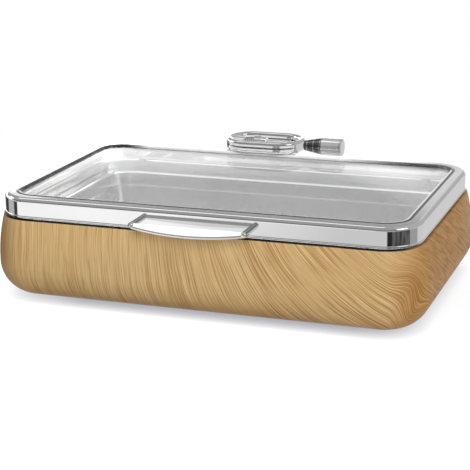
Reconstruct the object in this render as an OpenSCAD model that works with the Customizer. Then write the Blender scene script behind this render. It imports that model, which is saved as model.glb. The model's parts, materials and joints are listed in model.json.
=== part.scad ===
// Induction chafing dish: wood-effect casing, water pan, food pan and a hinged glass lid.
// X runs along the long side, the front is at -Y, Z is up and the origin is on the floor.

/* [Food pan] */
// Length over the flange
pan_l = 530; // [480:1:580]
// Width over the flange
pan_w = 325; // [290:1:360]
// Depth from the rim to the inside of the bottom
pan_depth = 65; // [55:1:75]
// Corner radius of the flange
pan_corner_r = 44; // [43:1:52]
// Width of the flange
pan_flange = 12.5; // [10:0.5:14]
// Sheet thickness
pan_sheet = 0.8; // [0.6:0.1:1.2]
// Height of the turned-down lip
pan_lip = 2.5; // [2:0.1:4]
// Depth of the stacking shoulder below the rim
shoulder_drop = 20; // [15:0.5:25]
// Width of the stacking shoulder
shoulder_w = 3; // [2:0.5:4]
// Radius between wall and bottom
pan_bottom_r = 14; // [10:1:16]

/* [Water pan] */
// Clearance round the food pan's flange
pan_clear = 2.5; // [1:0.5:4]
// Width of the ledge that carries the food pan
ledge_w = 8; // [6:0.5:9]
// Depth of the recess above the ledge
recess_h = 14; // [10:0.5:18]
// Height of the water space below the food pan
water_gap = 28.5; // [15:0.5:35]
// Sheet thickness
water_sheet = 1; // [0.8:0.1:1.5]
// Inward slope of the wall from ledge to bottom
water_slope = 5; // [3:0.5:7]
// Radius between wall and bottom
water_bottom_r = 12; // [8:1:14]

/* [Induction base] */
// Length of the ferritic plate
plate_l = 400; // [340:1:420]
// Width of the ferritic plate
plate_w = 200; // [160:1:210]
// Thickness of the ferritic plate
plate_t = 1.2; // [0.8:0.1:2]
// Thickness of the aluminium spreader
spreader_t = 5; // [3:0.5:8]
// Corner radius of the plate
plate_corner_r = 24; // [10:1:40]
// Clearance round the plate in the casing's window
window_clear = 4; // [2:0.5:8]

/* [Casing] */
// Distance from food pan flange to casing edge at the short ends
rim_x = 21; // [18:0.5:26]
// Distance from food pan flange to casing edge at the long sides
rim_y = 15.5; // [15:0.5:22]
// Corner radius at the top edge
casing_corner_r = 52; // [48:1:60]
// How far the wall swells out
bulge = 8.5; // [5:0.5:10]
// Height of the widest point
bulge_z = 48; // [40:1:54]
// Wall thickness
casing_wall = 1.2; // [0.8:0.1:2]
// Width of the inward flange at the top
casing_flange = 10; // [8:0.5:11]

/* [Feet] */
// Height of the feet below the casing
foot_h = 2; // [1.5:0.1:3]
// Diameter of the feet
foot_d = 16; // [10:1:20]
// Distance of the feet from the flat bottom's edge
foot_inset = 17; // [14:0.5:18]

/* [Lid] */
// How far the lid stands inside the casing's top edge
lid_inset = 3; // [1:0.5:4]
// Height of the lid from its lower edge to its top
lid_h = 27; // [24:0.1:34]
// Radius of the lid's top edge
lid_edge_r = 6; // [4:0.5:7]
// Sheet thickness
lid_sheet = 1.2; // [0.8:0.1:1.5]
// Width of the band round the glass
band_w = 14.5; // [14:0.5:18]
// Width of the hem at the lower edge
hem_w = 6; // [5:0.5:8]
// Diameter of the rolled lip at the lower edge
lip_d = 3.4; // [2.5:0.1:4]
// How far the rolled lip stands out from the skirt
lip_out = 0.7; // [0.4:0.1:1.2]
// Glass thickness
glass_t = 4; // [3:0.5:5]
// Thickness of the seal's legs
seal_t = 1; // [0.8:0.1:1.5]
// Width of the seal's crowned bead inside the band
seal_show = 6.5; // [5:0.5:8]
// Thickness of the retaining frame
retainer_t = 1.5; // [1:0.1:2]
// Height of the retaining frame's inner lip
retainer_lip = 5; // [3:0.5:6]
// Diameter of the studs
stud_d = 3; // [2.5:0.1:3.2]
// Height of the bumpers
bumper_h = 1; // [0.8:0.1:2]
// Length of the bumpers
bumper_l = 12; // [8:1:16]
// Distance of the bumpers from the middle
bumper_x = 218; // [190:1:224]
// Width of the bumpers
bumper_w = 5; // [4:0.5:5]

/* [Handle] */
// Distance between the posts
post_span = 150; // [110:1:180]
// Diameter of the posts
post_d = 8; // [7:0.5:10]
// Distance from the skirt to the grip's straight edge
finger_gap = 21; // [20:1:35]
// Depth of the grip in the middle
grip_depth = 15; // [11:0.5:20]
// Thickness of the grip
grip_t = 4.5; // [4:0.5:7]
// Forward lean of the grip
grip_lean = 37; // [20:1:45]
// Height of the posts above the lid's lower edge
post_rise = 9.5; // [9:0.5:12]
// Diameter of the handle screws
handle_screw_d = 4; // [3:0.5:5]

/* [Hinge] */
// Distance of the hinge axis behind the lid
axis_back = 10.5; // [9.5:0.5:14]
// Diameter of the axle
axle_d = 10; // [8:0.5:10.5]
// Thickness of the loop's bar, seen from above
loop_bar_w = 9; // [8:0.5:10]
// Height of the loop's bar
loop_bar_h = 18; // [17:0.5:21]
// Length of the loop
loop_l = 118; // [112:1:124]
// Middle of the loop along X
loop_x = -25; // [-34:1:0]
// Outer diameter of the bosses inside the loop
boss_d = 15; // [14:0.5:17]
// Length of the barrel's cone
cone_l = 27; // [20:1:30]
// Outer diameter of the barrel
barrel_d = 25; // [25:0.5:28]
// Length of the barrel with its cap, without the cone
barrel_l = 30.5; // [29:0.5:38]
// Gap between the loop and the barrel's cone
barrel_gap = 1; // [0.4:0.1:2]
// Thickness of the barrel's end cap
cap_t = 4; // [3:0.5:5]
// Width of the bracket's pad on the casing
pad_w = 52; // [48:1:60]
// Height of the bracket's pad on the casing
pad_h = 42; // [38:1:44]
// Thickness of the bracket's pad at the widest point of the wall
pad_t = 8; // [7:0.5:10]
// Diameter of the bracket screws
bracket_screw_d = 5; // [4:0.5:6]
// Diameter of the loop screws
loop_screw_d = 4; // [3:0.5:5]

/* [Clearances] */
// Radial running clearance of the axle
run_gap = 0.05; // [0.02:0.01:0.08]
// Gap between parts of one body that only sit together
seat_gap = 0.1; // [0.05:0.01:0.2]
// Gap between lid and casing parts
lid_gap = 0.3; // [0.3:0.1:0.6]
// Radial clearance of screws in their holes
hole_gap = 0.25; // [0.15:0.05:0.4]

/* [Hidden] */
$fn = 64;
bend_steps = 6;
fillet_margin = 4;
floor_lap = 1;
cut = 1;

// Heights, stacked from the floor
water_bottom_z = plate_t + spreader_t;
water_floor_z = water_bottom_z + water_sheet;
pan_floor_z = water_floor_z + water_gap + pan_sheet;
pan_rim_z = pan_floor_z + pan_depth;
ledge_z = pan_rim_z - pan_lip;
flange_top = ledge_z + recess_h;
casing_top = flange_top - water_sheet;
lid_bottom = flange_top + lid_gap + bumper_h;
lid_top = lid_bottom + lid_h;
glass_top = lid_top - lid_sheet - seal_t;
glass_bottom = glass_top - glass_t;
retainer_top = glass_bottom - seal_t;

// Plan outlines
casing_l = pan_l + 2 * rim_x;
casing_w = pan_w + 2 * rim_y;
recess_l = pan_l + 2 * pan_clear;
recess_w = pan_w + 2 * pan_clear;
recess_r = pan_corner_r + pan_clear;
lid_l = casing_l - 2 * lid_inset;
lid_w = casing_w - 2 * lid_inset;
lid_r = casing_corner_r - lid_inset;
flange_inset = 6;

// Casing flank: one large arc above the widest point and one fillet below it
flank_h = casing_top - bulge_z;
flank_r = (bulge * bulge + flank_h * flank_h) / (2 * bulge);
fillet_r = min(bulge_z - foot_h, casing_corner_r + bulge - fillet_margin);
fillet_in = fillet_r - bulge;
flat_l = casing_l - 2 * fillet_in;
flat_w = casing_w - 2 * fillet_in;
flat_r = casing_corner_r - fillet_in;
foot_x = flat_l / 2 - foot_inset;
foot_y = flat_w / 2 - foot_inset;
foot_stem_d = 6;
foot_bead_d = 9;
foot_bead_h = 2;

// Pan wall stations, measured inward from the outlines
pan_flange_bend = 4;
pan_lip_bend = 1.5;
pan_wall_slope = 2;
pan_lower_slope = 4;
shoulder_z = pan_rim_z - shoulder_drop;
pan_wall_in = pan_flange + pan_flange_bend;
pan_shoulder_in = pan_wall_in + pan_wall_slope;
pan_step_in = pan_shoulder_in + shoulder_w;
pan_base_in = pan_step_in + pan_lower_slope;
pan_floor_in = pan_base_in + pan_bottom_r + floor_lap;
ledge_bend = 2;
water_wall_in = ledge_w + ledge_bend;
water_base_in = water_wall_in + water_slope;
water_floor_in = water_base_in + water_bottom_r + floor_lap;

// Glass, seal and retainer stations, measured inward from the lid's outline
stud_in = lid_edge_r + stud_d / 2 + seat_gap;
seal_wall = 1.2;
seal_out = stud_in + stud_d / 2 + seat_gap;
glass_in = seal_out + seal_wall;
seal_in = band_w + seal_show;
bead_w = seal_show - seat_gap;
bead_proud = 0.3;
bead_crown = 0.6;
bead_r = (bead_w * bead_w / 4 + bead_crown * bead_crown) / (2 * bead_crown);
retainer_clear = 0.8;
retainer_out = lid_sheet + retainer_clear;
retainer_in = band_w + lid_sheet;
nut_h = 2.4;
nut_d = 5.6;
stud_tail = 1;
stud_end = retainer_top - retainer_t - nut_h - stud_tail;
stud_xs = [-180, -60, 60, 180];
stud_ys = [-80, 80];
stud_places = concat(
  [for (x = stud_xs, s = [-1, 1]) [x, s * (lid_w / 2 - stud_in)]],
  [for (y = stud_ys, s = [-1, 1]) [s * (lid_l / 2 - stud_in), y]]
);

bumper_in = 0.5;
bumper_corner = 1.5;
bumper_stem_d = 2;

// Handle stations
skirt_front = -lid_w / 2;
post_z = lid_bottom + post_rise;
grip_back = skirt_front - finger_gap;
grip_half = post_span / 2;
grip_tip = 0.85 * post_d;
grip_sag = grip_depth - grip_tip;
grip_arc_r = (grip_half * grip_half + grip_sag * grip_sag) / (2 * grip_sag);
grip_top = post_z + 3;
grip_reach = grip_tip / 4;
screw_washer_d = 11;
screw_washer_t = 1;
screw_bite = 14;

// Hinge stations
axis_y = lid_w / 2 + axis_back;
loop_lift = 0.5;
axis_z = lid_top + loop_lift + loop_bar_h / 2;
loop_left = loop_x - loop_l / 2;
loop_right = loop_x + loop_l / 2;

// Depth of the loop: the open lid lets it swing clear of the casing
swing_clear = 0.8;
loop_reach = axis_z - casing_top - swing_clear - loop_bar_w / 2;
loop_end_r = sqrt(loop_reach * loop_reach - pow((loop_bar_h - loop_bar_w) / 2, 2));
loop_half = (loop_l - loop_bar_w) / 2 - loop_end_r;

// Bosses and barrel along the axis
boss_in = loop_bar_w / 2;
left_boss_l = 21;
right_boss_l = 8;
barrel_x = loop_right + barrel_gap;
cone_end = barrel_x + cone_l;
barrel_end = cone_end + barrel_l;
cap_x = barrel_end - cap_t;
barrel_mid = (cone_end + cap_x) / 2;
barrel_wall = 2;
bore_d = barrel_d - 2 * barrel_wall;
axle_clear = 1;
cone_wall = 1.2;
cone_tip_d = axle_d + 2 * axle_clear + 2 * cone_wall;
skirt_rear = lid_w / 2;
saddle_leg_t = 2;
tab_t = 4.5;
tab_l = loop_l - 14;
tab_gap = 2;
tab_low = lid_bottom + lip_d + tab_gap;
tab_corner = 5;
loop_screw_span = 60;
loop_screw_drop = 3;
loop_screw_z = (tab_low + lid_top) / 2 - loop_screw_drop;
loop_screw_bite = 3.5;
loop_head_h = 2.4;

// Stack on the axle, from the left boss to the right
stack_x = loop_left + boss_in + left_boss_l + seat_gap;
washer_t = 1.5;
washer_d = 13;
spring_count = 5;
spring_t = 1.5;
spring_rise = 1.5;
spring_pitch = spring_t + spring_rise;
spring_d = 14;
spring_x = stack_x + washer_t + seat_gap;
collar_x = spring_x + spring_count * spring_pitch + seat_gap;
collar_l = 11;
collar_d = 18.5;
knurl_count = 28;
knurl_d = 1;
shoulder_x = collar_x + collar_l + seat_gap;
axle_shoulder_l = 7;
axle_shoulder_d = 17;

// Damper cartridge in the barrel
cart_x = cone_end + seat_gap;
spigot_l = 3;
cart_end = cap_x - spigot_l - seat_gap;
sleeve_wall = 1.8;
sleeve_d = bore_d - 2 * seat_gap;
chamber_d = sleeve_d - 2 * sleeve_wall;
bush_l = 5;
cart_play = 0.8;
ring_x = cart_x + bush_l + cart_play;
ring_t = 1;
ring_depth = 0.7;
ring_width = 2;
rotor_x = ring_x + ring_t + cart_play;
rotor_end = cart_end - bush_l - cart_play;
hub_wall = 2;
vane_t = 3;
vane_gap = 0.3;
axle_end_gap = 0.5;
axle_left = loop_left + axle_end_gap;
axle_right = cart_end - axle_end_gap;

// Bracket on the rear wall
rear_widest = casing_w / 2 + bulge;
pad_out = rear_widest + pad_t;
pad_drop = 6;
pad_top = casing_top - pad_drop;
pad_mid_z = pad_top - pad_h / 2;
pad_corner = 8;
neck_w = cap_x - cone_end;
neck_foot = 16;
pad_screw_edge = 9;
pad_screw_x = pad_w / 2 - pad_screw_edge;
pad_screw_z = pad_h / 2 - pad_screw_edge;
pad_skin = 3;
saddle_t = 4;
saddle_in = casing_w / 2 - casing_wall - saddle_t;
saddle_edge = 3;
saddle_gap = 0.25;
bracket_head_h = 3;
screw_tip_gap = 1;
head_ratio = 1.8;
drive_ratio = 0.7;
neck_top_front = 7;
neck_top_back = 8;
neck_mid_back = 2;
neck_shoulder = 6;
neck_clear = 1;

// Offset of a sheet path to its left side, with mitred joints
function unit(v) = v / norm(v);
function left_of(v) = [-v[1], v[0]];
function side_at(p, i) = left_of(unit(p[min(i, len(p) - 2) + 1] - p[min(i, len(p) - 2)]));
function mitre(p, i) = let (a = side_at(p, max(i - 1, 0)), b = side_at(p, i)) (a + b) / (1 + a * b);
function sheet_outline(p, t) = concat(p, [for (i = [len(p) - 1 : -1 : 0]) p[i] + t * mitre(p, i)]);
function bend(centre, r, from, to) =
  [for (k = [0 : bend_steps]) centre + r * [cos(from + (to - from) * k / bend_steps),
                                            sin(from + (to - from) * k / bend_steps)]];

// Rounded rectangle, centred
module rounded_rect(l, w, r) {
  square([l, w - 2 * r], center = true);
  square([l - 2 * r, w], center = true);
  for (sx = [-1, 1], sy = [-1, 1])
    translate([sx * (l / 2 - r), sy * (w / 2 - r)])
      circle(r = r);
}

// Upright plate with a rounded-rectangle outline
module plate(l, w, r, z, t) {
  translate([0, 0, z])
    linear_extrude(t)
      rounded_rect(l, w, r);
}

// Profile carried round a rounded rectangle; its x = 0 lies on the outline, +x points outward
module swept(l, w, r) {
  for (turn = [0, 180])
    rotate([0, 0, turn]) {
      translate([l / 2 - r, w / 2 - r, 0])
        rotate_extrude(angle = 90)
          translate([r, 0])
            children();
      translate([r - l / 2, w / 2 - r, 0])
        rotate([0, 0, 90])
          rotate_extrude(angle = 90)
            translate([r, 0])
              children();
      translate([r - l / 2, w / 2, 0])
        rotate([90, 0, 90])
          linear_extrude(l - 2 * r)
            children();
      translate([l / 2, w / 2 - r, 0])
        rotate([90, 0, 0])
          linear_extrude(w - 2 * r)
            children();
    }
}

// Rod along X
module rod(x, y, z, d, l) {
  translate([x, y, z])
    rotate([0, 90, 0])
      cylinder(d = d, h = l);
}

// Rod along X on the hinge axis
module axis_rod(x, d, l) {
  rod(x, axis_y, axis_z, d, l);
}

// Rod along Y
module depth_rod(x, y, z, d, l) {
  translate([x, y, z])
    rotate([-90, 0, 0])
      cylinder(d = d, h = l);
}

// Half of the casing's section, inset from its outer face by the given amount
module casing_half(inset, top) {
  depth = 2 * fillet_r;
  intersection() {
    translate([bulge - flank_r, bulge_z])
      circle(r = flank_r - inset, $fn = 128);
    translate([-depth, bulge_z])
      square([depth + 2 * bulge, top - bulge_z]);
  }
  if (bulge_z > foot_h + fillet_r)
    translate([-depth, foot_h + fillet_r])
      square([depth + bulge - inset, bulge_z - foot_h - fillet_r]);
  intersection() {
    translate([-fillet_in, foot_h + fillet_r])
      circle(r = fillet_r - inset);
    translate([-fillet_in, foot_h - cut])
      square([2 * fillet_r, fillet_r + cut]);
  }
  translate([-depth, foot_h + inset])
    square([depth - fillet_in, fillet_r - inset]);
}

module casing_section() {
  intersection() {
    difference() {
      casing_half(0, casing_top);
      casing_half(casing_wall, casing_top + cut);
    }
    translate([-fillet_in, 0])
      square([fillet_in + 2 * bulge, casing_top + cut]);
  }
  translate([-casing_flange, casing_top - casing_wall])
    square([casing_flange - casing_wall / 2, casing_wall]);
}

module bracket_screw_places() {
  for (sx = [-1, 1], sz = [-1, 1])
    translate([barrel_mid + sx * pad_screw_x, 0, pad_mid_z + sz * pad_screw_z])
      children();
}

module foot_places() {
  for (sx = [-1, 1], sy = [-1, 1])
    translate([sx * foot_x, sy * foot_y, 0])
      children();
}

module casing() {
  color("burlywood")
    difference() {
      union() {
        swept(casing_l, casing_w, casing_corner_r)
          casing_section();
        plate(flat_l, flat_w, flat_r, foot_h, casing_wall);
      }
      plate(
        plate_l + 2 * window_clear, plate_w + 2 * window_clear,
        plate_corner_r + window_clear, foot_h - cut, casing_wall + 2 * cut
      );
      foot_places()
        translate([0, 0, foot_h - cut])
          cylinder(d = foot_stem_d + 2 * seat_gap, h = casing_wall + 2 * cut);
      bracket_screw_places()
        depth_rod(0, saddle_in, 0, bracket_screw_d + 2 * hole_gap, pad_out - saddle_in);
    }
}

module water_pan() {
  wall_top = [-water_wall_in, ledge_z - ledge_bend];
  wall_foot = [-water_base_in, water_floor_z + water_bottom_r];
  path = concat(
    [[0, flange_top - water_sheet / 2], [0, ledge_z], [-ledge_w, ledge_z]],
    [wall_top],
    bend(wall_foot - [water_bottom_r, 0], water_bottom_r, 0, -90),
    [[-water_floor_in, water_floor_z]]
  );
  color("silver") {
    difference() {
      plate(
        casing_l - 2 * flange_inset, casing_w - 2 * flange_inset,
        casing_corner_r - flange_inset, casing_top, water_sheet
      );
      plate(recess_l, recess_w, recess_r, casing_top - cut, water_sheet + 2 * cut);
    }
    swept(recess_l, recess_w, recess_r)
      polygon(sheet_outline(path, water_sheet));
    plate(
      recess_l - 2 * water_floor_in, recess_w - 2 * water_floor_in,
      recess_r - water_floor_in, water_bottom_z, water_sheet
    );
  }
}

module heat_spreader() {
  color("gainsboro")
    plate(plate_l, plate_w, plate_corner_r, plate_t, spreader_t);
}

module induction_plate() {
  color("gray")
    plate(plate_l, plate_w, plate_corner_r, 0, plate_t);
}

module food_pan() {
  path = concat(
    [[0, ledge_z]],
    bend([-pan_lip_bend, pan_rim_z - pan_lip_bend], pan_lip_bend, 0, 90),
    bend([-pan_flange, pan_rim_z - pan_flange_bend], pan_flange_bend, 90, 180),
    [
      [-pan_shoulder_in, shoulder_z],
      [-pan_step_in, shoulder_z - shoulder_w / 2]
    ],
    bend([-pan_base_in - pan_bottom_r, pan_floor_z + pan_bottom_r], pan_bottom_r, 0, -90),
    [[-pan_floor_in, pan_floor_z]]
  );
  color("lightgray") {
    swept(pan_l, pan_w, pan_corner_r)
      polygon(sheet_outline(path, pan_sheet));
    plate(
      pan_l - 2 * pan_floor_in, pan_w - 2 * pan_floor_in,
      pan_corner_r - pan_floor_in, pan_floor_z - pan_sheet, pan_sheet
    );
  }
}

module feet() {
  color("dimgray")
    foot_places() {
      cylinder(d = foot_d, h = foot_h);
      cylinder(d = foot_stem_d, h = foot_h + casing_wall + foot_bead_h);
      translate([0, 0, foot_h + casing_wall])
        cylinder(d = foot_bead_d, h = foot_bead_h);
    }
}

module lid_section() {
  edge_z = lid_top - lid_edge_r;
  translate([-lid_sheet, lid_bottom])
    square([lid_sheet, edge_z - lid_bottom]);
  translate([-lid_edge_r, edge_z])
    intersection() {
      difference() {
        circle(r = lid_edge_r);
        circle(r = lid_edge_r - lid_sheet);
      }
      square(2 * lid_edge_r);
    }
  translate([-band_w, lid_top - lid_sheet])
    square([band_w - lid_edge_r, lid_sheet]);
  translate([-hem_w, lid_bottom])
    square([hem_w - lid_sheet, lid_sheet]);
  translate([lip_out - lip_d / 2, lid_bottom + lip_d / 2])
    circle(d = lip_d);
}

module bumper_places() {
  for (sx = [-1, 1], sy = [-1, 1])
    translate([sx * bumper_x, sy * (lid_w / 2 - bumper_w / 2 - bumper_in), 0])
      children();
}

module handle_places() {
  for (sx = [-1, 1])
    translate([sx * post_span / 2, skirt_front, post_z])
      children();
}

module loop_screw_places() {
  for (side = [-1, 1])
    translate([loop_x + side * loop_screw_span / 2, skirt_rear, loop_screw_z])
      children();
}

module lid_frame() {
  color("silver")
    difference() {
      swept(lid_l, lid_w, lid_r)
        lid_section();
      handle_places()
        depth_rod(0, -cut, 0, handle_screw_d + 2 * hole_gap, lid_sheet + 2 * cut);
      loop_screw_places()
        depth_rod(0, -lid_sheet - cut, 0, loop_screw_d + 2 * hole_gap, lid_sheet + 2 * cut);
      bumper_places()
        translate([0, 0, lid_bottom - cut])
          cylinder(d = bumper_stem_d + 2 * seat_gap, h = lip_d + 2 * cut);
    }
}

module lid_glass() {
  color("lightcyan", 0.4)
    plate(lid_l - 2 * glass_in, lid_w - 2 * glass_in, lid_r - glass_in, glass_bottom, glass_t);
}

module glass_seal() {
  color("dimgray")
    swept(lid_l, lid_w, lid_r) {
      union() {
        translate([-retainer_in, retainer_top])
          square([retainer_in - seal_out, seal_t]);
        translate([-seal_in, glass_top])
          square([seal_in - seal_out, seal_t]);
        translate([seat_gap - glass_in, retainer_top])
          square([seal_wall - seat_gap, glass_t + 2 * seal_t]);
        intersection() {
          translate([bead_w / 2 - seal_in, lid_top + bead_proud - bead_r])
            circle(r = bead_r);
          translate([-seal_in, glass_top])
            square([bead_w, lid_top + cut - glass_top]);
        }
      }
    }
}

module glass_retainer() {
  color("silver")
    difference() {
      swept(lid_l, lid_w, lid_r)
        union() {
          translate([-retainer_in, retainer_top - retainer_t])
            square([retainer_in - retainer_out, retainer_t]);
          translate([-retainer_in, retainer_top - retainer_lip])
            square([lid_sheet, retainer_lip]);
        }
      for (p = stud_places)
        translate([p[0], p[1], retainer_top - retainer_t - cut])
          cylinder(d = stud_d + 2 * hole_gap, h = retainer_t + 2 * cut);
    }
}

module retainer_studs() {
  color("silver")
    for (p = stud_places)
      translate([p[0], p[1], stud_end])
        cylinder(d = stud_d, h = lid_top - lid_sheet - stud_end);
}

module retainer_nuts() {
  color("gray")
    for (p = stud_places)
      translate([p[0], p[1], retainer_top - retainer_t - nut_h])
        difference() {
          cylinder(d = nut_d, h = nut_h, $fn = 6);
          translate([0, 0, -cut])
            cylinder(d = stud_d + 2 * seat_gap, h = nut_h + 2 * cut);
        }
}

module lid_bumpers() {
  color("whitesmoke")
    bumper_places() {
      translate([0, 0, lid_bottom - bumper_h])
        linear_extrude(bumper_h)
          rounded_rect(bumper_l, bumper_w, bumper_corner);
      translate([0, 0, lid_bottom - bumper_h / 2])
        cylinder(d = bumper_stem_d, h = lid_sheet + bumper_h);
    }
}

module handle() {
  grip_section = grip_depth + 2 * grip_tip;
  color("silver")
    difference() {
      union() {
        translate([0, grip_back, grip_top])
          rotate([grip_lean, 0, 0])
            intersection() {
              translate([0, grip_arc_r - grip_depth, -grip_t / 2])
                rotate([0, 0, 180])
                  rotate_extrude(angle = 180, $fn = 128)
                    translate([grip_arc_r - grip_t / 2, 0]) {
                      circle(d = grip_t);
                      translate([-grip_section, -grip_t / 2])
                        square([grip_section, grip_t]);
                    }
              translate([-grip_half, -2 * grip_depth, -2 * grip_t])
                cube([post_span, 2 * grip_depth, 4 * grip_t]);
            }
        handle_places() {
          rotate([90, 0, 0])
            cylinder(d = post_d, h = finger_gap + grip_reach);
          translate([0, -finger_gap - grip_reach, 0])
            sphere(d = post_d);
        }
      }
      handle_places()
        depth_rod(0, -screw_bite, 0, handle_screw_d + 2 * run_gap, screw_bite + cut);
    }
}

module handle_washers() {
  color("silver")
    handle_places()
      translate([0, lid_sheet, 0])
        difference() {
          depth_rod(0, 0, 0, screw_washer_d, screw_washer_t);
          depth_rod(0, -cut, 0, handle_screw_d + 2 * hole_gap, screw_washer_t + 2 * cut);
        }
}

module handle_screws() {
  head_y = lid_sheet + screw_washer_t;
  head_h = drive_ratio * handle_screw_d;
  color("gray")
    handle_places() {
      depth_rod(0, screw_tip_gap - screw_bite, 0, handle_screw_d, screw_bite - screw_tip_gap + head_y);
      difference() {
        depth_rod(0, head_y, 0, head_ratio * handle_screw_d, head_h);
        translate([0, head_y + head_h / 2, 0])
          rotate([-90, 0, 0])
            cylinder(d = drive_ratio * handle_screw_d, h = head_h, $fn = 6);
      }
    }
}

// Upright section of the loop's bar, rounded above and below
module loop_section() {
  straight = loop_bar_h - loop_bar_w;
  square([loop_bar_w, straight], center = true);
  for (side = [-1, 1])
    translate([0, side * straight / 2])
      circle(d = loop_bar_w);
}

module loop_ring() {
  for (side = [-1, 1]) {
    translate([loop_x + side * loop_half, axis_y, axis_z])
      rotate([0, 0, -90 * side])
        rotate_extrude(angle = 180)
          translate([loop_end_r, 0])
            loop_section();
    translate([loop_x - loop_half, axis_y + side * loop_end_r, axis_z])
      rotate([90, 0, 90])
        linear_extrude(2 * loop_half)
          loop_section();
  }
}

module hinge_loop() {
  color("silver")
    difference() {
      union() {
        loop_ring();
        axis_rod(loop_left + boss_in, boss_d, left_boss_l);
        axis_rod(loop_right - boss_in - right_boss_l, boss_d, right_boss_l);
        translate([loop_x - tab_l / 2, skirt_rear - band_w, lid_top])
          cube([tab_l, band_w + tab_t, saddle_leg_t]);
        translate([loop_x, skirt_rear + tab_t, (tab_low + lid_top + saddle_leg_t) / 2])
          rotate([90, 0, 0])
            linear_extrude(tab_t)
              rounded_rect(tab_l, lid_top + saddle_leg_t - tab_low, tab_corner);
      }
      axis_rod(loop_left - cut, axle_d + 2 * run_gap, loop_l + 2 * cut);
      loop_screw_places()
        depth_rod(0, -cut, 0, loop_screw_d + 2 * run_gap, loop_screw_bite + cut);
    }
}

module loop_screws() {
  color("gray")
    loop_screw_places() {
      depth_rod(0, -lid_sheet, 0, loop_screw_d, lid_sheet + loop_screw_bite - screw_tip_gap);
      depth_rod(0, -lid_sheet - loop_head_h, 0, head_ratio * loop_screw_d, loop_head_h);
    }
}

module hinge_axle() {
  color("silver")
    difference() {
      union() {
        axis_rod(axle_left, axle_d, axle_right - axle_left);
        axis_rod(shoulder_x, axle_shoulder_d, axle_shoulder_l);
      }
      difference() {
        axis_rod(ring_x, axle_d + 2 * cut, ring_t);
        axis_rod(ring_x - cut, axle_d - 2 * ring_depth, ring_t + 2 * cut);
      }
    }
}

// Plain ring on the axle
module axle_washer(x, d, t) {
  difference() {
    axis_rod(x, d, t);
    axis_rod(x - cut, axle_d + 2 * run_gap, t + 2 * cut);
  }
}

module clamp_washer() {
  color("gray")
    axle_washer(stack_x, washer_d, washer_t);
}

module spring_washers() {
  rim = spring_d / 2;
  eye = axle_d / 2 + seat_gap;
  color("dimgray")
    for (i = [0 : spring_count - 1])
      translate([spring_x + i * spring_pitch, axis_y, axis_z])
        rotate([0, 90, 0])
          rotate_extrude()
            polygon([
              [eye, 0], [eye, spring_t], [rim, spring_pitch - seat_gap],
              [rim, spring_rise - seat_gap]
            ]);
}

module knurled_collar() {
  color("silver")
    translate([collar_x, axis_y, axis_z])
      rotate([0, 90, 0])
        linear_extrude(collar_l)
          difference() {
            circle(d = collar_d);
            circle(d = axle_d + 2 * run_gap);
            for (k = [0 : knurl_count - 1])
              rotate(k * 360 / knurl_count)
                translate([collar_d / 2, 0])
                  circle(d = knurl_d, $fn = 16);
          }
}

// Solid in front of the rear wall's outer face, used to fit the bracket and the saddle
module rear_flank(inset, x, l) {
  translate([x, casing_w / 2, 0])
    rotate([90, 0, 90])
      linear_extrude(l)
        casing_half(inset, casing_top);
}

module hinge_bracket() {
  pad_x = barrel_mid - pad_w / 2;
  color("silver")
    difference() {
      union() {
        translate([barrel_mid, pad_out, pad_mid_z])
          rotate([90, 0, 0])
            linear_extrude(pad_t + 2 * bulge)
              rounded_rect(pad_w, pad_h, pad_corner);
        translate([barrel_mid - neck_w / 2, 0, 0])
          rotate([90, 0, 90])
            linear_extrude(neck_w)
              polygon([
                [axis_y - neck_top_front, axis_z], [axis_y + neck_top_back, axis_z],
                [pad_out + neck_mid_back, pad_top], [pad_out, pad_mid_z - neck_foot],
                [pad_out - pad_t / 2, pad_mid_z - neck_foot],
                [rear_widest + neck_clear, pad_top + neck_shoulder]
              ]);
        axis_rod(cone_end, barrel_d, cap_x - cone_end);
        translate([barrel_x, axis_y, axis_z])
          rotate([0, 90, 0])
            cylinder(d1 = cone_tip_d, d2 = barrel_d, h = cone_l);
      }
      rear_flank(-seat_gap, pad_x - cut, pad_w + 2 * cut);
      axis_rod(cone_end, bore_d, barrel_l);
      axis_rod(barrel_x - cut, axle_d + 2 * axle_clear, cone_l + barrel_l);
      bracket_screw_places()
        depth_rod(0, saddle_in, 0, bracket_screw_d + 2 * run_gap, pad_out - pad_skin - saddle_in);
    }
}

module bracket_saddle() {
  saddle_w = pad_w - 2 * saddle_edge;
  saddle_h = pad_h - 2 * saddle_edge;
  color("gray")
    difference() {
      intersection() {
        translate([barrel_mid - saddle_w / 2, saddle_in, pad_mid_z - saddle_h / 2])
          cube([saddle_w, 2 * bulge + saddle_t, saddle_h]);
        rear_flank(casing_wall + saddle_gap, barrel_mid - pad_w, 2 * pad_w);
      }
      bracket_screw_places()
        depth_rod(0, saddle_in - cut, 0, bracket_screw_d + 2 * hole_gap, 2 * bulge + saddle_t);
    }
}

module bracket_screws() {
  color("gray")
    bracket_screw_places() {
      depth_rod(0, saddle_in, 0, bracket_screw_d, pad_out - pad_skin - screw_tip_gap - saddle_in);
      depth_rod(0, saddle_in - bracket_head_h, 0, head_ratio * bracket_screw_d, bracket_head_h);
    }
}

module damper_sleeve() {
  color("gray")
    difference() {
      axis_rod(cart_x, sleeve_d, cart_end - cart_x);
      axis_rod(cart_x - cut, chamber_d, cart_end - cart_x + 2 * cut);
    }
}

module damper_bushes() {
  color("goldenrod")
    for (x = [cart_x, cart_end - bush_l])
      axle_washer(x, chamber_d - 2 * seat_gap, bush_l);
}

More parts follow.
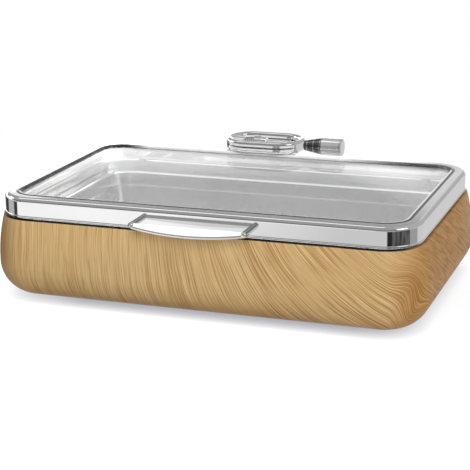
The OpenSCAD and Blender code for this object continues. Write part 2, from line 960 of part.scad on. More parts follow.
module damper_rotor() {
  hub_d = axle_d + 2 * hub_wall;
  rotor_l = rotor_end - rotor_x;
  color("dimgray")
    difference() {
      union() {
        axis_rod(rotor_x, hub_d, rotor_l);
        intersection() {
          axis_rod(rotor_x, chamber_d - 2 * vane_gap, rotor_l);
          translate([rotor_x, axis_y - vane_t / 2, axis_z - barrel_d])
            cube([rotor_l, vane_t, 2 * barrel_d]);
        }
      }
      axis_rod(rotor_x - cut, axle_d + 2 * run_gap, rotor_l + 2 * cut);
    }
}

module axle_ring() {
  inner_d = axle_d - 2 * ring_depth + 2 * run_gap;
  side_play = 0.1;
  color("gray")
    difference() {
      axis_rod(ring_x + side_play, axle_d + ring_width, ring_t - 2 * side_play);
      axis_rod(ring_x - cut, inner_d, ring_t + 2 * cut);
      translate([ring_x - cut, axis_y - ring_width / 2, axis_z])
        cube([ring_t + 2 * cut, ring_width, axle_d]);
    }
}

module damper_end_cap() {
  edge = 1.5;
  spigot_r = bore_d / 2 - seat_gap;
  color("gainsboro")
    translate([cap_x - spigot_l, axis_y, axis_z])
      rotate([0, 90, 0])
        rotate_extrude()
          polygon(concat(
            [[0, 0], [spigot_r, 0], [spigot_r, spigot_l], [barrel_d / 2, spigot_l]],
            bend([barrel_d / 2 - edge, spigot_l + cap_t - edge], edge, 0, 90),
            [[0, spigot_l + cap_t]]
          ));
}

casing();
water_pan();
heat_spreader();
induction_plate();
food_pan();
feet();
lid_frame();
lid_glass();
glass_seal();
glass_retainer();
retainer_studs();
retainer_nuts();
lid_bumpers();
handle();
handle_washers();
handle_screws();
hinge_loop();
loop_screws();
hinge_axle();
clamp_washer();
spring_washers();
knurled_collar();
hinge_bracket();
bracket_saddle();
bracket_screws();
damper_sleeve();
damper_bushes();
damper_rotor();
axle_ring();
damper_end_cap();
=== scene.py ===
import json
import math

import bpy
from mathutils import Matrix, Vector

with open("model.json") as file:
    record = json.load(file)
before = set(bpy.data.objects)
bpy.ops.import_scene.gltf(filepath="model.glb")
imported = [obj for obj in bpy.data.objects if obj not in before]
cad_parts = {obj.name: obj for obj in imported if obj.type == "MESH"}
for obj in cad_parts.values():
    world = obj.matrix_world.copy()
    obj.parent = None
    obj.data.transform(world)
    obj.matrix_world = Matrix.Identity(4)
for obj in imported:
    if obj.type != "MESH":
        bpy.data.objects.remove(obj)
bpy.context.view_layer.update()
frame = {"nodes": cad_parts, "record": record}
nodes = frame["nodes"]
scene = bpy.context.scene
scene.view_settings.view_transform = "Standard"

# Centres of the rounded corners in plan lie this far from the middle, in metres
corner_x, corner_y = 0.234, 0.126
white = (1, 1, 1, 1)


# Camera
def make_camera():
    """The view that was fitted to the photograph's outlines."""
    azimuth, elevation, roll = (math.radians(a) for a in (20.016, 16.171, -0.886))
    distance, shift_right, shift_up = 2.0, -0.0076, 0.06045
    focal_px, image_px, sensor_mm = 1446.2, 470, 36
    back = Vector((
        math.sin(azimuth) * math.cos(elevation),
        -math.cos(azimuth) * math.cos(elevation),
        math.sin(elevation),
    ))
    right = Vector((math.cos(azimuth), math.sin(azimuth), 0))
    up = back.cross(right)
    eye = back * distance + right * shift_right + up * shift_up
    c, s = math.cos(roll), math.sin(roll)
    rolled_right, rolled_up = right * c + up * s, up * c - right * s
    data = bpy.data.cameras.new("camera")
    data.sensor_width = sensor_mm
    data.lens = sensor_mm * focal_px / image_px
    data.clip_start, data.clip_end = 0.05, 100
    cam = bpy.data.objects.new("camera", data)
    scene.collection.objects.link(cam)
    cam.matrix_world = Matrix((
        (rolled_right.x, rolled_up.x, back.x, eye.x),
        (rolled_right.y, rolled_up.y, back.y, eye.y),
        (rolled_right.z, rolled_up.z, back.z, eye.z),
        (0, 0, 0, 1),
    ))
    scene.camera = cam


# Colours
def linear(r, g, b):
    """An 8-bit display colour as linear light."""
    def one(c):
        c /= 255
        return c / 12.92 if c <= 0.04045 else ((c + 0.055) / 1.055) ** 2.4
    return one(r), one(g), one(b), 1.0


def grey(level):
    return level, level, level, 1.0


def dimmed(colour, factor):
    return tuple(c * factor for c in colour[:3]) + (1.0,)


# Node helpers
class Tree:
    """Nodes of a material or a world, with short calls for the kinds used here."""

    def __init__(self, owner, output):
        owner.use_nodes = True
        self.owner, self.tree = owner, owner.node_tree
        self.tree.nodes.clear()
        self.out = self.node(output)

    def put(self, socket, value):
        if isinstance(value, bpy.types.NodeSocket):
            self.tree.links.new(value, socket)
        elif value is not None:
            socket.default_value = value

    def node(self, kind, inputs=None, **props):
        n = self.tree.nodes.new("ShaderNode" + kind)
        for k, v in props.items():
            setattr(n, k, v)
        for k, v in (inputs or {}).items():
            self.put(n.inputs[k], v)
        return n

    def show(self, shader):
        self.tree.links.new(shader, self.out.inputs["Surface"])
        return self.owner

    # Arithmetic
    def math(self, op, a, b=None, c=None):
        n = self.node("Math", operation=op)
        for socket, value in zip(n.inputs, (a, b, c)):
            self.put(socket, value)
        return n.outputs[0]

    def chain(self, op, values):
        total = values[0]
        for value in values[1:]:
            total = self.math(op, total, value)
        return total

    def plus(self, *values):
        return self.chain("ADD", values)

    def times(self, *values):
        return self.chain("MULTIPLY", values)

    def most(self, *values):
        return self.chain("MAXIMUM", values)

    def least(self, *values):
        return self.chain("MINIMUM", values)

    def minus(self, a, b):
        return self.math("SUBTRACT", a, b)

    def over(self, a, b):
        return self.math("DIVIDE", a, b)

    def times_plus(self, a, b, c):
        return self.math("MULTIPLY_ADD", a, b, c)

    def size(self, a):
        return self.math("ABSOLUTE", a)

    def apart(self, a, b):
        return self.size(self.minus(a, b))

    def clamped(self, value, low, high):
        return self.least(self.most(value, low), high)

    def hypot(self, a, b):
        return self.math("SQRT", self.plus(self.times(a, a), self.times(b, b)))

    def span(self, value, a, b, low, high, course="LINEAR"):
        """Low up to a, high from b on, and in between a course from one to the other."""
        n = self.node("MapRange", {0: value, 1: a, 2: b, 3: low, 4: high}, interpolation_type=course)
        return n.outputs[0]

    def spread(self, noise, low=0.0, high=1.0):
        """Noise, which lies mostly between 0.3 and 0.7, spread from low to high."""
        return self.span(noise, 0.3, 0.7, low, high)

    # Places, directions and rays
    def place(self):
        """Position in the part's frame, in metres."""
        return self.node("TexCoord").outputs["Object"]

    def normal(self):
        return self.xyz(self.node("TexCoord").outputs["Normal"])

    def sky_direction(self):
        return self.xyz(self.node("TexCoord").outputs["Generated"])

    def ray(self, kind):
        return self.node("LightPath").outputs[kind]

    def xyz(self, vector):
        n = self.node("SeparateXYZ", {0: vector})
        return n.outputs[0], n.outputs[1], n.outputs[2]

    def vector(self, x, y, z):
        return self.node("CombineXYZ", {0: x, 1: y, 2: z}).outputs[0]

    def stretched(self, scale):
        return self.node("Mapping", {"Vector": self.place(), "Scale": scale}).outputs[0]

    # Patterns and colours
    def noise(self, vector, scale=1.0, detail=2.0, rough=0.5):
        n = self.node("TexNoise", {"Vector": vector, "Scale": scale, "Detail": detail, "Roughness": rough})
        return n.outputs[0]

    def ramp(self, value, stops):
        n = self.node("ValToRGB", {0: value})
        e = n.color_ramp.elements
        while len(e) < len(stops):
            e.new(0.5)
        for k, (at, level) in zip(e, stops):
            k.position, k.color = at, grey(level)
        return n.outputs[0]

    def mix(self, share, a, b):
        return self.node("Mix", {0: share, 6: a, 7: b}, data_type="RGBA").outputs[2]

    # Shaders
    def bump(self, height, strength, distance):
        return self.node("Bump", {"Height": height, "Strength": strength, "Distance": distance}).outputs[0]

    def principled(self, **inputs):
        return self.node("BsdfPrincipled", {k.replace("_", " "): v for k, v in inputs.items()}).outputs[0]

    def glow(self, colour, strength=1.0):
        return self.node("Emission", {"Color": colour, "Strength": strength}).outputs[0]

    def sky(self, colour, strength=1.0):
        return self.node("Background", {"Color": colour, "Strength": strength}).outputs[0]

    def blend(self, share, a, b):
        return self.node("MixShader", {0: share, 1: a, 2: b}).outputs[0]


def material(name):
    return Tree(bpy.data.materials.new(name), "OutputMaterial")


# Materials
def wood_run(t, x, y):
    """Way round the casing in metres, 0 at the middle of the front and positive to the right."""
    corner_radius = 0.056
    flat_x, flat_y = t.clamped(x, -corner_x, corner_x), t.clamped(y, -corner_y, corner_y)
    side = t.math("SIGN", x)
    turn = t.times(t.math("ARCTAN2", t.apart(x, flat_x), t.minus(flat_y, y)), corner_radius)
    along_side = t.plus(turn, t.plus(flat_y, corner_y))
    behind = t.math("GREATER_THAN", y, corner_y)
    folded = t.times(behind, t.minus(t.times(side, 2 * corner_x), t.times(flat_x, 2)))
    return t.plus(flat_x, folded, t.times(side, along_side))


def wood_print():
    """Honey oak print round the casing: upright grain at the left, sweeping into arcs at the right."""
    t = material("wood_print")
    x, y, z = t.xyz(t.place())
    run = wood_run(t, x, y)
    mid_height, rim_height = 0.055, 0.112
    front_to, rear_from = 0.05, 0.16
    toward_front = t.span(y, front_to, rear_from, 1.0, 0.0)

    # Lean of the grain grows from left to right along the print
    most_lean, lean_run, lean_width = 1.9, 0.140, 0.075

    def lean(at):
        fall = t.math("EXPONENT", t.over(t.minus(lean_run, at), lean_width))
        return t.over(most_lean, t.plus(fall, 1.0))

    # The grain turns upright again in a patch at the right corner
    knot_run, knot_half_run, knot_lean = 0.281, 0.030, 0.1
    knot_height, knot_core, knot_half_height = 0.050, 0.010, 0.058
    patch = t.times(
        t.span(t.apart(run, knot_run), 0.0, knot_half_run, 1.0, 0.0, "SMOOTHSTEP"),
        t.span(t.apart(z, knot_height), knot_core, knot_half_height, 1.0, 0.0, "SMOOTHSTEP"),
    )

    # Across and along the grain, with a slow wander and a small waver
    wander_scale, wander_reach, waver_scale, waver_reach = 9.0, 0.009, 38.0, 0.0010
    along_rise, along_run = 0.9, 0.35
    rise = t.minus(z, mid_height)
    half_way = t.plus(run, t.times(lean(run), rise, 0.5))
    swept = t.times(lean(half_way), t.span(patch, 0.0, 1.0, 1.0, knot_lean))
    along = t.minus(t.times(z, along_rise), t.times(run, along_run))
    sheet = t.vector(run, z, 0.0)
    wander = t.minus(t.noise(sheet, wander_scale), 0.5)
    waver = t.minus(t.noise(sheet, waver_scale), 0.5)
    across = t.plus(run, t.times(swept, rise))
    across = t.plus(across, t.times(wander, wander_reach), t.times(waver, waver_reach))

    def streaks(fine, long, seed, detail=1.0, rough=0.55):
        """Noise with so many grains to the metre across and along the grain."""
        return t.noise(t.vector(t.times(across, fine), t.times(along, long), seed), 1.0, detail, rough)

    def line(value, middle, width):
        """One on a thin contour of the noise, nought beside it."""
        return t.span(t.apart(value, middle), 0.0, width, 1.0, 0.0)

    tone = streaks(16, 3, 1.0, 2.0)
    bands = streaks(60, 4, 4.0)
    rings = streaks(330, 5, 7.0, 2.0)
    veins = streaks(640, 9, 9.0)
    fibres = streaks(760, 15, 11.0)
    pores = streaks(520, 30, 17.0)
    mottle = streaks(110, 40, 31.0, 3.0, 0.5)

    # Lines are calm at the left and in the middle, bold in the arcs and bolder at the right end
    left_run, middle_run, arcs_run, end_run, last_run = -0.28, 0.02, 0.10, 0.26, 0.34
    bold = t.plus(
        t.span(run, left_run, middle_run, 0.78, 0.92),
        t.span(run, middle_run, arcs_run, 0.0, 0.6),
        t.times(t.span(run, end_run, last_run, 0.0, 0.6), toward_front),
    )

    # The right end of the print is amber; the left end and the foot are browner in the print and also carry
    # painted shade, where the casing turns from the light and on its bottom rounding
    amber_from, amber_to, left_edge, left_to, left_front, left_rear = 0.25, 0.33, -0.294, -0.240, -0.15, -0.08
    foot_wander, foot_low, foot_high, foot_full, foot_half = 0.012, 0.006, 0.026, 0.08, 0.22
    right_end = t.times(t.span(run, amber_from, amber_to, 0.0, 0.6), toward_front)
    left_end = t.times(
        t.span(x, left_edge, left_to, 0.95, 0.0),
        t.span(y, left_front, left_rear, 1.0, 0.35),
    )
    foot = t.times(
        t.span(t.times_plus(wander, foot_wander, z), foot_low, foot_high, 0.42, 0.0),
        t.span(x, foot_full, foot_half, 1.0, 0.5),
    )

    # Painted shade: the print stops at the rim, and above it the shell is painted near black, a painted
    # shadow in the gap under the lid, weaker towards the ends
    below_from, below_to = 0.0004, 0.0001
    left_lit, left_dark, right_dark, right_lit = -0.284, -0.262, 0.268, 0.282
    gap_shade = t.span(z, rim_height - below_from, rim_height - below_to, 0.0, 1.0)
    shaded = t.times(
        t.span(x, right_dark, right_lit, 1.0, 0.2),
        t.span(x, left_lit, left_dark, 0.3, 1.0),
    )

    light, honey, brown = linear(219, 188, 136), linear(210, 176, 122), linear(184, 144, 92)
    ring, pale_ring = linear(160, 118, 70), linear(232, 202, 152)
    vein, pale_vein, pore = linear(146, 103, 58), linear(236, 206, 156), linear(120, 84, 48)
    amber, knot, spot = linear(190, 132, 62), linear(160, 106, 50), linear(128, 84, 42)
    left_brown_and_shade, foot_brown_and_shade = linear(126, 84, 42), linear(176, 118, 56)
    layers = [
        (t.span(bands, 0.45, 0.75, 0.0, 0.12), brown),
        (t.times(line(rings, 0.5, 0.09), t.times(bold, 0.14)), ring),
        (t.times(line(rings, 0.62, 0.06), t.times(bold, 0.16)), pale_ring),
        (t.times(t.span(veins, 0.5, 0.68, 0.0, 0.55), bold), vein),
        (t.times(t.span(veins, 0.32, 0.45, 0.3, 0.0), bold), pale_vein),
        (t.times(t.span(fibres, 0.48, 0.7, 0.0, 0.45), bold), vein),
        (t.span(pores, 0.62, 0.76, 0.0, 0.4), pore),
        (right_end, amber),
        (t.times(patch, 0.5), knot),
        (t.times(right_end, t.span(mottle, 0.45, 0.65, 0.0, 0.8)), spot),
        # Painted shade mixed with a browner print at the left end and the foot
        (left_end, left_brown_and_shade),
        (foot, foot_brown_and_shade),
        # Painted shadow in the gap under the lid
        (t.times(gap_shade, shaded), grey(0.004)),
    ]
    colour = t.mix(t.spread(tone), light, honey)
    for share, layer in layers:
        colour = t.mix(share, colour, layer)
    rough = t.span(veins, 0.3, 0.75, 0.36, 0.46)
    grain = t.plus(t.times(veins, 0.6), t.times(fibres, 0.4))
    return t.show(t.principled(
        Base_Color=colour, Roughness=rough, Specular_IOR_Level=0.05, Normal=t.bump(grain, 0.08, 0.0004),
    ))


def polished(name, colour, rough, smear, waves):
    """Mirror-polished metal with faint polishing marks and slow waves in the sheet."""
    t = material(name)
    mark_scale, cloud_scale, wave_scale, wave_depth = (60, 900, 900), 14.0, 22.0, 0.002
    marks = t.noise(t.stretched(mark_scale), 1.0, 3.0, 0.6)
    cloud = t.noise(t.place(), cloud_scale, 3.0)
    slow = t.noise(t.place(), wave_scale, 1.0)
    gloss = t.plus(
        t.span(marks, 0.3, 0.75, rough, rough + smear),
        t.span(cloud, 0.35, 0.7, 0.0, smear * 0.6),
    )
    return t.show(t.principled(
        Base_Color=t.mix(t.spread(cloud), colour, dimmed(colour, 0.95)), Metallic=1.0,
        Roughness=gloss, Normal=t.bump(slow, waves, wave_depth),
    ))


def brushed(name, colour, rough, grain_scale, depth, metal=1.0, contrast=0.14, painted_wall_shade=None):
    """Satin metal brushed along one direction, with optional painted shade that darkens its upright walls by
    the way they face.
    """
    t = material(name)
    cloud_scale, hair_depth = 9.0, 0.0003
    hair = t.noise(t.stretched(grain_scale), 1.0, 4.0, 0.65)
    cloud = t.noise(t.place(), cloud_scale, 3.0)
    shade = t.mix(t.span(hair, 0.3, 0.72, 0.0, 1.0), colour, dimmed(colour, 1 - contrast))
    if painted_wall_shade:
        # Painted shade: upright walls darkened by the way they face
        _, across, up = t.normal()
        upright = t.span(t.size(up), 0.2, 0.4, 1.0, 0.0)
        shade = t.mix(t.times(t.ramp(t.size(across), painted_wall_shade), upright), shade, grey(0.0))
    gloss = t.plus(t.span(hair, 0.3, 0.75, rough, rough + 0.08), t.span(cloud, 0.35, 0.7, 0.0, 0.04))
    return t.show(t.principled(
        Base_Color=shade, Metallic=metal, Roughness=gloss, Normal=t.bump(hair, depth, hair_depth),
    ))


def moulded(name, colour, rough):
    """Matt rubber or plastic with a fine moulded grain."""
    t = material(name)
    grain_scale, cloud_scale, grain_depth = 1400.0, 60.0, 0.0002
    grain = t.noise(t.place(), grain_scale, 3.0)
    cloud = t.noise(t.place(), cloud_scale)
    return t.show(t.principled(
        Base_Color=t.mix(t.spread(cloud), colour, dimmed(colour, 0.8)),
        Roughness=t.spread(cloud, rough, rough + 0.12), Normal=t.bump(grain, 0.12, grain_depth),
    ))


def seal_trim():
    """Glossy dark bead round the glass, with a painted reflection of the white sweep: matt near-white colour
    along the rear and at the left.
    """
    t = material("seal_trim")
    x, y, _ = t.xyz(t.place())
    cloud = t.noise(t.place(), 60.0)
    outer_left, inner_left, rear_from, rear_to = -0.2685, -0.2650, 0.138, 0.147
    start_from, start_to, end_from, end_to = -0.235, -0.2, 0.1, 0.2
    along_rear = t.times(
        t.span(x, start_from, start_to, 0.0, 1.0),
        t.span(x, end_from, end_to, 1.0, 0.15),
    )
    rear = t.times(t.span(y, rear_from, rear_to, 0.0, 1.0), along_rear)
    # Painted reflection: matt near-white where the bead faces the white sweep
    bright = t.most(t.span(x, outer_left, inner_left, 1.0, 0.0), rear)
    dark = t.mix(t.spread(cloud), (0.10, 0.10, 0.103, 1), (0.14, 0.14, 0.143, 1))
    return t.show(t.principled(
        Base_Color=t.mix(bright, dark, grey(0.93)), Metallic=t.minus(1.0, bright),
        Roughness=t.spread(cloud, 0.08, 0.14),
    ))


def turned_steel():
    """Turned steel: a dark cone with a few painted highlights, light lines at its grooves, lighter on the
    cylinder beside it.
    """
    t = material("turned_steel")
    cone_from, cone_to, cone_edge = 0.035, 0.062, 0.001
    groove_pitch, groove_from, groove_to, lathe_scale = 0.005, 0.0042, 0.0048, 700.0
    x, _, _ = t.xyz(t.place())
    cloud = t.noise(t.place(), 40.0)
    lathe = t.noise(t.vector(t.times(x, lathe_scale), 0.0, 0.0))
    on_cone = t.span(x, cone_to - cone_edge, cone_to + cone_edge, 1.0, 0.0)
    grooves = t.math("PINGPONG", t.minus(x, cone_from), groove_pitch)
    # Painted highlights: light lines on the dark cone for light caught at turned grooves
    cone = t.mix(t.span(grooves, groove_from, groove_to, 0.0, 0.8), (0.16, 0.16, 0.165, 1), grey(0.75))
    drum = t.mix(t.spread(cloud), grey(0.80), (0.72, 0.72, 0.725, 1))
    return t.show(t.principled(
        Base_Color=t.mix(on_cone, drum, cone), Metallic=t.span(on_cone, 0.0, 1.0, 0.75, 1.0),
        Roughness=t.spread(lathe, 0.10, 0.2),
    ))


def loop_chrome():
    """Chrome of the hinge loop with painted highlights: two near-white bands on its front bar, a painted
    shade line between them and a dark spot where the bands are left out.
    """
    t = material("loop_chrome")
    axle_height, line_half, line_edge, band_half, band_edge = 0.1508, 0.0009, 0.0008, 0.0048, 0.0012
    spot_from, spot_to, spot_edge = 0.0, 0.007, 0.003
    x, _, z = t.xyz(t.place())
    cloud = t.noise(t.place(), 40.0)
    front = t.span(t.normal()[1], -0.75, -0.55, 1.0, 0.0)
    off = t.apart(z, axle_height)
    band = t.times(
        t.span(off, line_half, line_half + line_edge, 0.0, 1.0),
        t.span(off, band_half - band_edge, band_half, 1.0, 0.0),
    )
    beside_spot = t.most(
        t.span(x, spot_from - spot_edge, spot_from, 1.0, 0.0),
        t.span(x, spot_to, spot_to + spot_edge, 0.0, 1.0),
    )
    # Painted highlights and painted shade on the front bar
    bright = t.times(band, front, beside_spot)
    painted_shade_line = t.times(t.span(off, line_half, line_half + line_edge, 0.7, 0.0), front)
    chrome = t.mix(t.spread(cloud), (0.87, 0.87, 0.875, 1), (0.82, 0.82, 0.825, 1))
    chrome = t.mix(painted_shade_line, chrome, grey(0.1))
    return t.show(t.principled(
        Base_Color=t.mix(bright, chrome, grey(0.95)), Metallic=t.times_plus(bright, -0.9, 1.0),
        Roughness=t.spread(cloud, 0.03, 0.07),
    ))


def clear_glass():
    """Clear toughened glass; light from lamps and from matt surfaces passes straight through."""
    t = material("clear_glass")
    film = t.noise(t.place(), 18.0, 3.0)
    tint = t.mix(t.spread(film), (0.99, 0.995, 0.993, 1), (0.98, 0.985, 0.983, 1))
    glass = t.principled(Base_Color=tint, Roughness=0.0, IOR=1.3, Transmission_Weight=1.0)
    clear = t.node("BsdfTransparent", {"Color": grey(0.96)}).outputs[0]
    return t.show(t.blend(t.most(t.ray("Is Shadow Ray"), t.ray("Is Diffuse Ray")), glass, clear))


# Painted shade on upright pan walls, by the way they face: bright ends, a dark band in the corners, greyer
# fronts and backs
pan_wall_shade = [(0.55, 0.0), (0.82, 0.6), (0.92, 0.5), (0.965, 0.3), (0.985, 0.46)]
pan_finish = {"rough": 0.13, "depth": 0.003, "metal": 0.95, "contrast": 0.05, "painted_wall_shade": pan_wall_shade}
fine_grain = (900, 900, 900)
materials = {
    "wood_effect": wood_print(),
    "satin_steel": brushed("satin_steel", grey(0.84), grain_scale=(12, 600, 600), **pan_finish),
    "aluminium": brushed("aluminium", (0.75, 0.75, 0.755, 1), 0.38, (300, 300, 300), 0.06),
    "ferritic_steel": brushed("ferritic_steel", (0.50, 0.50, 0.49, 1), 0.36, (1200, 60, 1200), 0.08),
    "pan_steel": brushed("pan_steel", grey(0.90), grain_scale=(12, 500, 500), **pan_finish),
    "dark_silicone": moulded("dark_silicone", (0.045, 0.045, 0.047, 1), 0.55),
    "polished_steel": polished("polished_steel", grey(0.88), 0.03, 0.05, 0.02),
    "clear_glass": clear_glass(),
    "clear_silicone": moulded("clear_silicone", (0.72, 0.72, 0.69, 1), 0.4),
    "chrome": polished("chrome", (0.87, 0.87, 0.875, 1), 0.025, 0.04, 0.0),
    "screw_steel": brushed("screw_steel", (0.58, 0.58, 0.575, 1), 0.3, fine_grain, 0.06),
    "spring_steel": brushed("spring_steel", (0.28, 0.28, 0.29, 1), 0.34, fine_grain, 0.06),
    "bronze": brushed("bronze", (0.62, 0.42, 0.2, 1), 0.42, (700, 700, 700), 0.08),
    "black_plastic": moulded("black_plastic", (0.03, 0.03, 0.031, 1), 0.45),
    "satin_cap": brushed("satin_cap", grey(0.8), 0.28, fine_grain, 0.05),
}
for part in frame["record"]["subparts"]:
    obj = nodes[part["node"]]
    obj.data.materials.clear()
    obj.data.materials.append(materials[part["material_slot"]])
nodes["glass_seal"].data.materials[0] = seal_trim()
nodes["hinge_bracket"].data.materials[0] = turned_steel()
nodes["hinge_loop"].data.materials[0] = loop_chrome()

# The photograph's glass shows no mirror image of the hinge
hinge_words = ("hinge", "damper", "bracket", "loop", "axle", "collar", "spring", "clamp")
for name, obj in nodes.items():
    if any(word in name for word in hinge_words):
        obj.visible_glossy = False


# Surroundings
def seen_directly(t):
    """One for rays from the camera and for mirrored and refracted ones."""
    total = t.plus(t.ray("Is Camera Ray"), t.ray("Is Glossy Ray"), t.ray("Is Transmission Ray"))
    return t.least(total, 1.0)


def mirrored_room(t):
    """Brightness of the room in mirrors: white sweep behind, grey ceiling, dark room behind the camera."""
    x, y, z = t.sky_direction()
    ceiling, dark_room = 0.36, 0.14
    heading = t.over(x, t.most(y, 0.05))

    # The white sweep ends at an edge that climbs toward the right, and it darkens from left to right
    edge_low, climb_from, climb_reach, climb = 0.2345, -0.31, 0.6, 2.9
    left_level, middle_level, right_level = 1.0, 0.72, 0.46
    rightward = t.clamped(t.minus(heading, climb_from), 0.0, climb_reach)
    above = t.minus(z, t.times_plus(t.times(rightward, rightward), climb, edge_low))
    level = t.least(
        t.span(heading, -0.27, -0.21, left_level, middle_level),
        t.span(heading, -0.15, 0.15, middle_level, right_level),
    )
    behind = t.times_plus(t.span(above, -0.010, 0.012, 1.0, 0.0), t.minus(level, ceiling), ceiling)

    # Brighter at the left, with one more bright strip that slants
    brighter = t.times(t.span(above, -0.014, 0.006, 1.1, 0.0), t.span(heading, -0.25, -0.21, 1.0, 0.0))
    strip_height, strip_slant = 0.2195, 3.0
    leftward = t.times_plus(t.minus(z, strip_height), strip_slant, heading)
    strip = t.times(
        t.span(leftward, -0.474, -0.442, 1.6, 0.0),
        t.span(leftward, -0.56, -0.51, 0.0, 1.0),
        t.span(z, 0.238, 0.246, 1.0, 0.15),
    )
    behind = t.plus(behind, t.plus(brighter, strip))
    return t.mix(t.span(y, -0.25, 0.05, 0.0, 1.0), t.span(z, 0.16, 0.5, dark_room, ceiling), behind)


# Brightness that the pans mirror, by the angle in degrees from the front to the right
pan_room = [
    (-165, 1.6), (-100, 1.4), (-60, 1.1), (-25, 1.0), (-5, 1.1), (12, 1.3),
    (45, 2.0), (75, 1.8), (100, 1.9), (130, 2.0), (165, 2.0),
]


def make_world():
    """White to the camera, a painted room to mirrors and pans, and soft light from the right and rear."""
    scene.world = bpy.data.worlds.new("studio")
    t = Tree(scene.world, "OutputWorld")
    through_glass = 2.5
    x, y, z = t.sky_direction()
    deep = t.math("GREATER_THAN", t.ray("Ray Depth"), through_glass)
    under_glass = t.times(t.ray("Is Transmission Ray"), deep)
    glossy = t.most(t.ray("Is Glossy Ray"), under_glass)
    turn = t.over(t.math("ARCTAN2", x, t.times(y, -1.0)), 2 * math.pi)
    in_pan = t.ramp(t.plus(turn, 0.5), [(angle / 360 + 0.5, level) for angle, level in pan_room])
    in_pan = t.mix(t.span(z, 0.4, 0.75, 0.0, 1.0), in_pan, t.span(z, 0.75, 0.93, 1.3, 0.55))
    room = t.mix(under_glass, mirrored_room(t), in_pan)
    strength = t.plus(t.span(x, -0.8, 0.8, 0.2, 0.6), t.span(y, 0.2, 0.9, 0.0, 0.55))
    ambient = t.sky((1, 0.995, 0.985, 1), strength)
    t.show(t.blend(seen_directly(t), ambient, t.sky(t.mix(glossy, white, room))))


# Stage
def sheet_mesh(name, corners, mat):
    mesh = bpy.data.meshes.new(name)
    mesh.from_pydata([Vector(c) for c in corners], [], [range(len(corners))])
    obj = bpy.data.objects.new(name, mesh)
    mesh.materials.append(mat)
    scene.collection.objects.link(obj)
    return obj


def make_floor():
    """Pale floor that keeps the shadow, partly real shade on its matt part and partly a painted shadow in its
    glow, is white far off and has its own greys in mirrors.
    """
    t = material("floor")
    x, y, _ = t.xyz(t.place())
    reach = t.hypot(x, y)
    half = 20.0

    # Matt floor, which throws more light back up near the right foot
    foot_left, foot_right, foot_near, foot_far = -0.1, 0.3, 0.32, 0.50
    to_camera, to_casing, more_right = 0.18, 0.40, 0.35
    near_foot = t.times(
        t.span(x, foot_left, foot_right, 0.0, more_right),
        t.span(reach, foot_near, foot_far, 1.0, 0.0),
    )
    bounce = t.mix(t.ray("Is Diffuse Ray"), grey(to_camera), t.plus(near_foot, to_casing))
    matt = t.node("BsdfDiffuse", {"Color": bounce}).outputs[0]

    # Its own light, with a painted shadow: dark where the casing stands on it, from ambient occlusion, and a
    # painted soft shadow beside the right end
    contact_reach, shade_x, shade_from, shade_to = 0.019, 0.40, 0.06, 0.26
    left_open, left_shut, right_shut, right_open = -0.31, -0.17, 0.2, 0.3
    painted_shadow = t.node("AmbientOcclusion", {"Distance": contact_reach}, samples=16).outputs["AO"]
    open_ends = t.most(
        t.span(x, left_open, left_shut, 0.8, 0.0),
        t.span(x, right_shut, right_open, 0.0, 0.55),
    )
    painted_shadow = t.times_plus(t.minus(1.0, painted_shadow), open_ends, painted_shadow)
    lit = t.mix(painted_shadow, (0.38, 0.385, 0.43, 1), (0.92, 0.925, 0.93, 1))
    from_right = t.hypot(t.minus(x, shade_x), y)
    strength = t.times(
        t.span(t.ray("Is Diffuse Ray"), 0, 1, 1, 0),
        t.span(from_right, shade_from, shade_to, 0.9, 1.0),
    )
    near = t.node("AddShader", {0: matt, 1: t.glow(lit, strength)}).outputs[0]
    far_from, far_to = 0.5, 1.1
    far = t.span(reach, far_from, far_to, 0.0, 1.0)
    plain = t.blend(t.times(far, seen_directly(t)), near, t.glow(white))

    # Greys in mirrors
    before = t.span(x, 0.25, 0.35, 0.9, 0.66)
    beside = t.span(x, -0.22, 0.07, 1.04, 0.66)
    mirrored = t.glow(t.mix(t.span(y, -0.3, -0.1, 1.0, 0.0), before, beside))
    corners = [(-half, -half, 0), (half, -half, 0), (half, half, 0), (-half, half, 0)]
    sheet_mesh("floor", corners, t.show(t.blend(t.ray("Is Glossy Ray"), plain, mirrored)))


def mirrors_only(obj):
    obj.visible_camera = obj.visible_diffuse = obj.visible_transmission = obj.visible_shadow = False


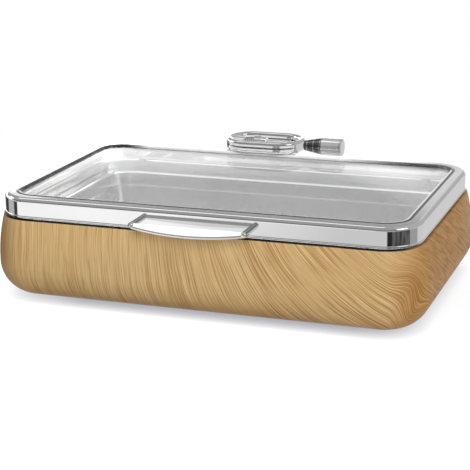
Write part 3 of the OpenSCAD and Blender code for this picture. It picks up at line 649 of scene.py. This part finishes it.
def flag(name, centre, from_deg, to_deg, shade, patchy=0.0):
    """A dark sheet before a corner, seen only in mirrors; its angles turn from the front to the right."""
    t = material(name)
    near, far, height, steps, cloud_scale = 0.2, 1.4, 0.002, 6, 14.0
    cloud = t.span(t.noise(t.place(), cloud_scale), 0.35, 0.65, shade * (1 - patchy), shade * (1 + patchy))
    turns = [math.radians(from_deg + (to_deg - from_deg) * k / steps) for k in range(steps + 1)]
    rim = [(far, a) for a in turns] + [(near, a) for a in reversed(turns)]
    corners = [(centre[0] + r * math.sin(a), centre[1] - r * math.cos(a), height) for r, a in rim]
    mirrors_only(sheet_mesh(name, corners, t.show(t.glow(cloud))))


def card(name, place, size, shade):
    """A bright card that faces the dish and is seen only in mirrors."""
    t = material(name)
    middle, aim = Vector(place), Vector((0, 0, 0.13))
    toward = (aim - middle).normalized()
    wide = toward.cross(Vector((0, 0, 1))).normalized() * size[0] / 2
    tall = wide.cross(toward).normalized() * size[1] / 2
    corners = [middle - wide - tall, middle + wide - tall, middle + wide + tall, middle - wide + tall]
    mirrors_only(sheet_mesh(name, corners, t.show(t.glow(white, shade))))


def lamp(name, place, size, watts):
    """A soft lamp that faces the dish and is in no mirror image."""
    aim = Vector((0, 0, 0.1))
    data = bpy.data.lights.new(name, "AREA")
    data.shape = "RECTANGLE"
    data.size, data.size_y = size
    data.energy = watts
    obj = bpy.data.objects.new(name, data)
    scene.collection.objects.link(obj)
    obj.location = place
    obj.rotation_euler = (aim - Vector(place)).to_track_quat("-Z", "Y").to_euler()
    obj.visible_glossy = obj.visible_transmission = False


make_camera()
make_world()
make_floor()
lamp("top_light", place=(-0.3, -0.4, 2.2), size=(2.2, 1.6), watts=22)
lamp("front_light", place=(0.8, -2.35, 1.6), size=(1.6, 1.4), watts=40)
card("top_softbox", place=(-0.7, 0.0, 2.0), size=(0.6, 1.9), shade=1.3)
card("right_softbox", place=(1.76, -0.75, 1.08), size=(1.0, 0.8), shade=1.8)
card("left_softbox", place=(-2.1, 0.1, 0.9), size=(0.9, 0.7), shade=1.8)
right_corner, left_corner = (corner_x, -corner_y), (-corner_x, -corner_y)
flag("right_bar", right_corner, from_deg=19.5, to_deg=32.5, shade=0.02)
flag("right_clutter", right_corner, from_deg=32.5, to_deg=86, shade=0.09, patchy=0.6)
flag("right_grey", right_corner, from_deg=86, to_deg=115, shade=0.36)
flag("left_bar", left_corner, from_deg=-70, to_deg=-56, shade=0.05)
flag("left_grey", left_corner, from_deg=-100, to_deg=-70, shade=0.5)
flag("left_dark", left_corner, from_deg=-160, to_deg=-100, shade=0.06, patchy=0.4)
